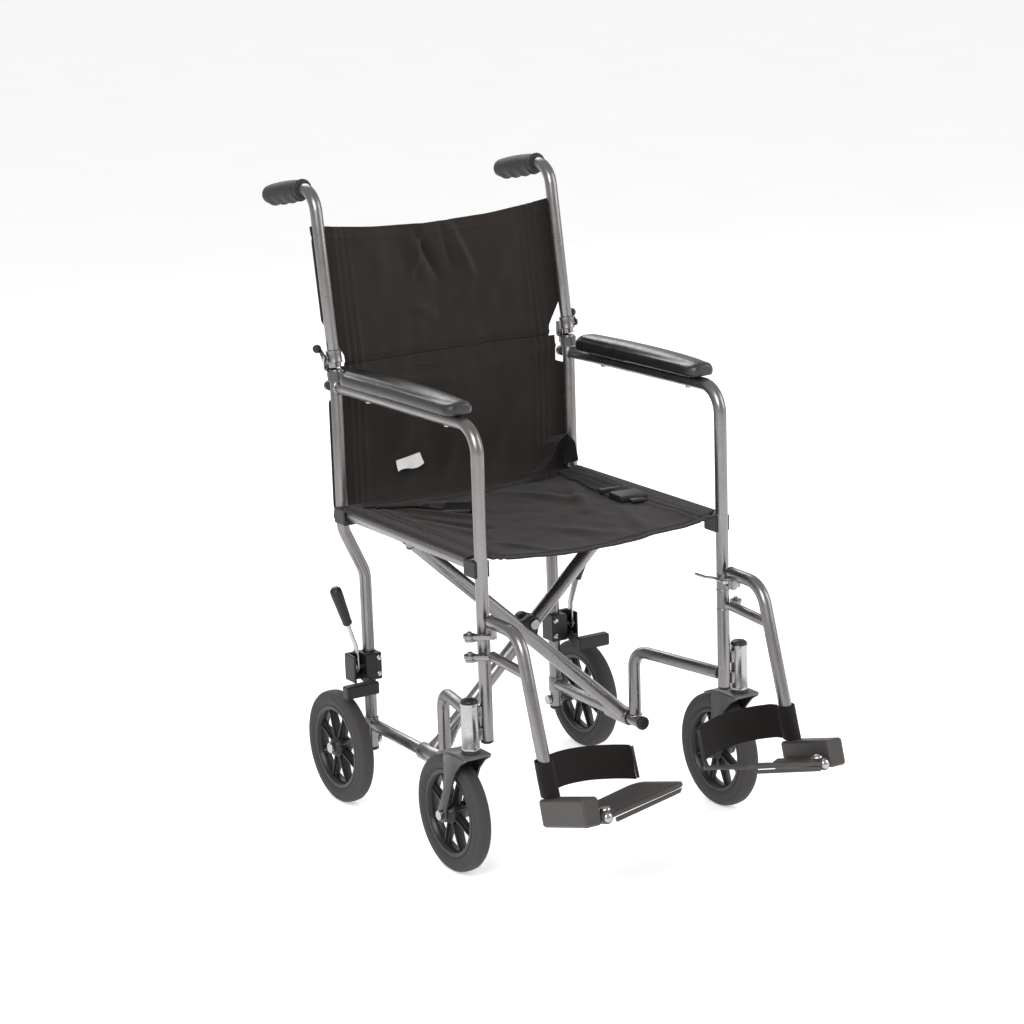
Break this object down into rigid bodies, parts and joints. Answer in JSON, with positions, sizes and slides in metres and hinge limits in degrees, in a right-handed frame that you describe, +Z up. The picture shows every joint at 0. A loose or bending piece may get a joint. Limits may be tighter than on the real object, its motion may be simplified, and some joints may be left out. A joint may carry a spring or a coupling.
{
  "type": "manual wheelchair",
  "caption": "Folding attendant-propelled wheelchair with small wheels, swing-away footrests, padded arms, fold-down back, lap belt and wheel locks.",
  "frame": {"origin": "on the floor, under the middle of the chair's overall length and width", "axes": "+Z up; the chair faces -Y; its right-hand side, as sat in, is at -X"},
  "size_m": [0.53, 0.8932, 0.9707],
  "materials": {
    "steel_tube": "silver-grey hammered powder coat",
    "bright_steel": "zinc or chrome plated",
    "dark_steel": "black paint",
    "black_plastic": "moulded, satin",
    "grip_rubber": "matt, ribbed",
    "tyre_rubber": "solid grey tyre",
    "arm_vinyl": "padded vinyl, slight sheen",
    "nylon": "woven nylon",
    "webbing": "woven strap"
  },
  "bodies": {
    "right_frame": {"front_frame_r": "steel_tube", "rear_post_r": "steel_tube", "lower_frame_r": "steel_tube", "caster_housing_r": "bright_steel", "rear_axle_r": "bright_steel", "arm_pad_r": "arm_vinyl", "seat_saddle_front_r": "black_plastic", "seat_saddle_rear_r": "black_plastic", "brake_bracket_r": "black_plastic", "back_hinge_r": "dark_steel", "back_lower": "nylon"},
    "cane_r": {"upper_cane_r": "steel_tube", "push_grip_r": "grip_rubber", "back_upper": "nylon"},
    "back_release_r": {"back_release_r": "bright_steel"},
    "caster_r": {"caster_fork_r": "dark_steel", "front_axle_r": "bright_steel"},
    "front_wheel_r": {"front_tyre_r": "tyre_rubber", "front_rim_r": "black_plastic"},
    "rear_wheel_r": {"rear_tyre_r": "tyre_rubber", "rear_rim_r": "black_plastic"},
    "brake_r": {"brake_lever_r": "bright_steel"},
    "brake_shoe_r": {"brake_shoe_r": "black_plastic"},
    "hanger_r": {"hanger_r": "steel_tube", "footrest_block_r": "black_plastic", "heel_loop_r": "webbing"},
    "footplate_r": {"footplate_r": "black_plastic"},
    "footrest_release_r": {"footrest_release_r": "bright_steel"},
    "left_frame": {"front_frame_l": "steel_tube", "rear_post_l": "steel_tube", "lower_frame_l": "steel_tube", "caster_housing_l": "bright_steel", "rear_axle_l": "bright_steel", "arm_pad_l": "arm_vinyl", "seat_saddle_front_l": "black_plastic", "seat_saddle_rear_l": "black_plastic", "brake_bracket_l": "black_plastic", "back_hinge_l": "dark_steel"},
    "cane_l": {"upper_cane_l": "steel_tube", "push_grip_l": "grip_rubber"},
    "back_release_l": {"back_release_l": "bright_steel"},
    "caster_l": {"caster_fork_l": "dark_steel", "front_axle_l": "bright_steel"},
    "front_wheel_l": {"front_tyre_l": "tyre_rubber", "front_rim_l": "black_plastic"},
    "rear_wheel_l": {"rear_tyre_l": "tyre_rubber", "rear_rim_l": "black_plastic"},
    "brake_l": {"brake_lever_l": "bright_steel"},
    "brake_shoe_l": {"brake_shoe_l": "black_plastic"},
    "hanger_l": {"hanger_l": "steel_tube", "footrest_block_l": "black_plastic", "heel_loop_l": "webbing"},
    "footplate_l": {"footplate_l": "black_plastic"},
    "footrest_release_l": {"footrest_release_l": "bright_steel"},
    "brace_a": {"brace_a": "steel_tube", "brace_bolt": "bright_steel", "lap_belt_l": "webbing"},
    "brace_b": {"brace_b": "steel_tube", "seat_sling": "nylon", "lap_belt_r": "webbing"}
  },
  "joints": [
    {"name": "fold", "type": "hinge", "parent": "right_frame", "child": "brace_a", "pos_m": [-0.171, 0.0707, 0.1145], "axis": [0, -1, 0], "range_deg": [0, 33.8], "deforming": ["seat_sling", "lap_belt_l", "lap_belt_r", "back_lower", "back_upper"]},
    {"name": "brace_scissor", "type": "hinge", "parent": "brace_a", "child": "brace_b", "pos_m": [0, 0.0467, 0.297], "axis": [0, -1, 0], "range_deg": [-67.6, 0]},
    {"name": "left_frame_hinge", "type": "hinge", "parent": "brace_b", "child": "left_frame", "pos_m": [0.171, 0.0467, 0.1145], "axis": [0, -1, 0], "range_deg": [0, 33.8]},
    {"name": "cane_fold_r", "type": "hinge", "parent": "right_frame", "child": "cane_r", "pos_m": [-0.2096, 0.2647, 0.69], "axis": [-1, 0, 0], "range_deg": [0, 120]},
    {"name": "back_release_r_press", "type": "hinge", "parent": "cane_r", "child": "back_release_r", "pos_m": [-0.2096, 0.2512, 0.7065], "axis": [1, 0, 0], "range_deg": [0, 22], "stiffness_Nm_per_rad": 0.3, "springref_deg": -5.73},
    {"name": "caster_swivel_r", "type": "hinge", "parent": "right_frame", "child": "caster_r", "pos_m": [-0.2375, -0.1638, 0.1996], "axis": [0, 0, 1], "continuous": true},
    {"name": "front_wheel_r_spin", "type": "hinge", "parent": "caster_r", "child": "front_wheel_r", "pos_m": [-0.2375, -0.1094, 0.0889], "axis": [1, 0, 0], "continuous": true},
    {"name": "rear_wheel_r_spin", "type": "hinge", "parent": "right_frame", "child": "rear_wheel_r", "pos_m": [-0.2257, 0.2577, 0.0889], "axis": [1, 0, 0], "continuous": true},
    {"name": "wheel_lock_r", "type": "hinge", "parent": "right_frame", "child": "brake_r", "pos_m": [-0.198, 0.2457, 0.215], "axis": [1, 0, 0], "range_deg": [0, 55]},
    {"name": "wheel_lock_shoe_r", "type": "hinge", "parent": "right_frame", "child": "brake_shoe_r", "pos_m": [-0.19, 0.2442, 0.1985], "axis": [1, 0, 0], "range_deg": [0, 22]},
    {"name": "footrest_swing_r", "type": "hinge", "parent": "right_frame", "child": "hanger_r", "pos_m": [-0.233, -0.1638, 0.33], "axis": [0, 0, 1], "range_deg": [-95, 0]},
    {"name": "footplate_r_flip", "type": "hinge", "parent": "hanger_r", "child": "footplate_r", "pos_m": [-0.1864, -0.34188, 0.1375], "axis": [0, -0.9613, 0.2756], "range_deg": [0, 84], "deforming": ["heel_loop_r"]},
    {"name": "footrest_release_r_press", "type": "hinge", "parent": "hanger_r", "child": "footrest_release_r", "pos_m": [-0.1951, -0.1913, 0.3798], "axis": [0, 0, 1], "range_deg": [-14, 0], "stiffness_Nm_per_rad": 0.3, "springref_deg": 5.73},
    {"name": "cane_fold_l", "type": "hinge", "parent": "left_frame", "child": "cane_l", "pos_m": [0.2096, 0.2647, 0.69], "axis": [-1, 0, 0], "range_deg": [0, 120]},
    {"name": "back_release_l_press", "type": "hinge", "parent": "cane_l", "child": "back_release_l", "pos_m": [0.2096, 0.2512, 0.7065], "axis": [1, 0, 0], "range_deg": [0, 22], "stiffness_Nm_per_rad": 0.3, "springref_deg": -5.73},
    {"name": "caster_swivel_l", "type": "hinge", "parent": "left_frame", "child": "caster_l", "pos_m": [0.2375, -0.1638, 0.1996], "axis": [0, 0, 1], "continuous": true},
    {"name": "front_wheel_l_spin", "type": "hinge", "parent": "caster_l", "child": "front_wheel_l", "pos_m": [0.2375, -0.1094, 0.0889], "axis": [1, 0, 0], "continuous": true},
    {"name": "rear_wheel_l_spin", "type": "hinge", "parent": "left_frame", "child": "rear_wheel_l", "pos_m": [0.2257, 0.2577, 0.0889], "axis": [1, 0, 0], "continuous": true},
    {"name": "wheel_lock_l", "type": "hinge", "parent": "left_frame", "child": "brake_l", "pos_m": [0.198, 0.2457, 0.215], "axis": [1, 0, 0], "range_deg": [0, 55]},
    {"name": "wheel_lock_shoe_l", "type": "hinge", "parent": "left_frame", "child": "brake_shoe_l", "pos_m": [0.19, 0.2442, 0.1985], "axis": [1, 0, 0], "range_deg": [0, 22]},
    {"name": "footrest_swing_l", "type": "hinge", "parent": "left_frame", "child": "hanger_l", "pos_m": [0.233, -0.1638, 0.33], "axis": [0, 0, 1], "range_deg": [0, 95]},
    {"name": "footplate_l_flip", "type": "hinge", "parent": "hanger_l", "child": "footplate_l", "pos_m": [0.1864, -0.34188, 0.1375], "axis": [0, 0.9613, -0.2756], "range_deg": [0, 84], "deforming": ["heel_loop_l"]},
    {"name": "footrest_release_l_press", "type": "hinge", "parent": "hanger_l", "child": "footrest_release_l", "pos_m": [0.1951, -0.1913, 0.3798], "axis": [0, 0, 1], "range_deg": [0, 14], "stiffness_Nm_per_rad": 0.3, "springref_deg": -5.73}
  ],
  "couplings": [
    {"joint": "brace_scissor", "follows": "fold", "ratio": -2},
    {"joint": "left_frame_hinge", "follows": "fold", "ratio": 1},
    {"joint": "wheel_lock_shoe_r", "follows": "wheel_lock_r", "ratio": 0.4},
    {"joint": "footplate_r_flip", "follows": "fold", "ratio": 2.48},
    {"joint": "wheel_lock_shoe_l", "follows": "wheel_lock_l", "ratio": 0.4},
    {"joint": "footplate_l_flip", "follows": "fold", "ratio": 2.48},
    {"joint": "cane_fold_l", "follows": "cane_fold_r", "ratio": 1}
  ]
}
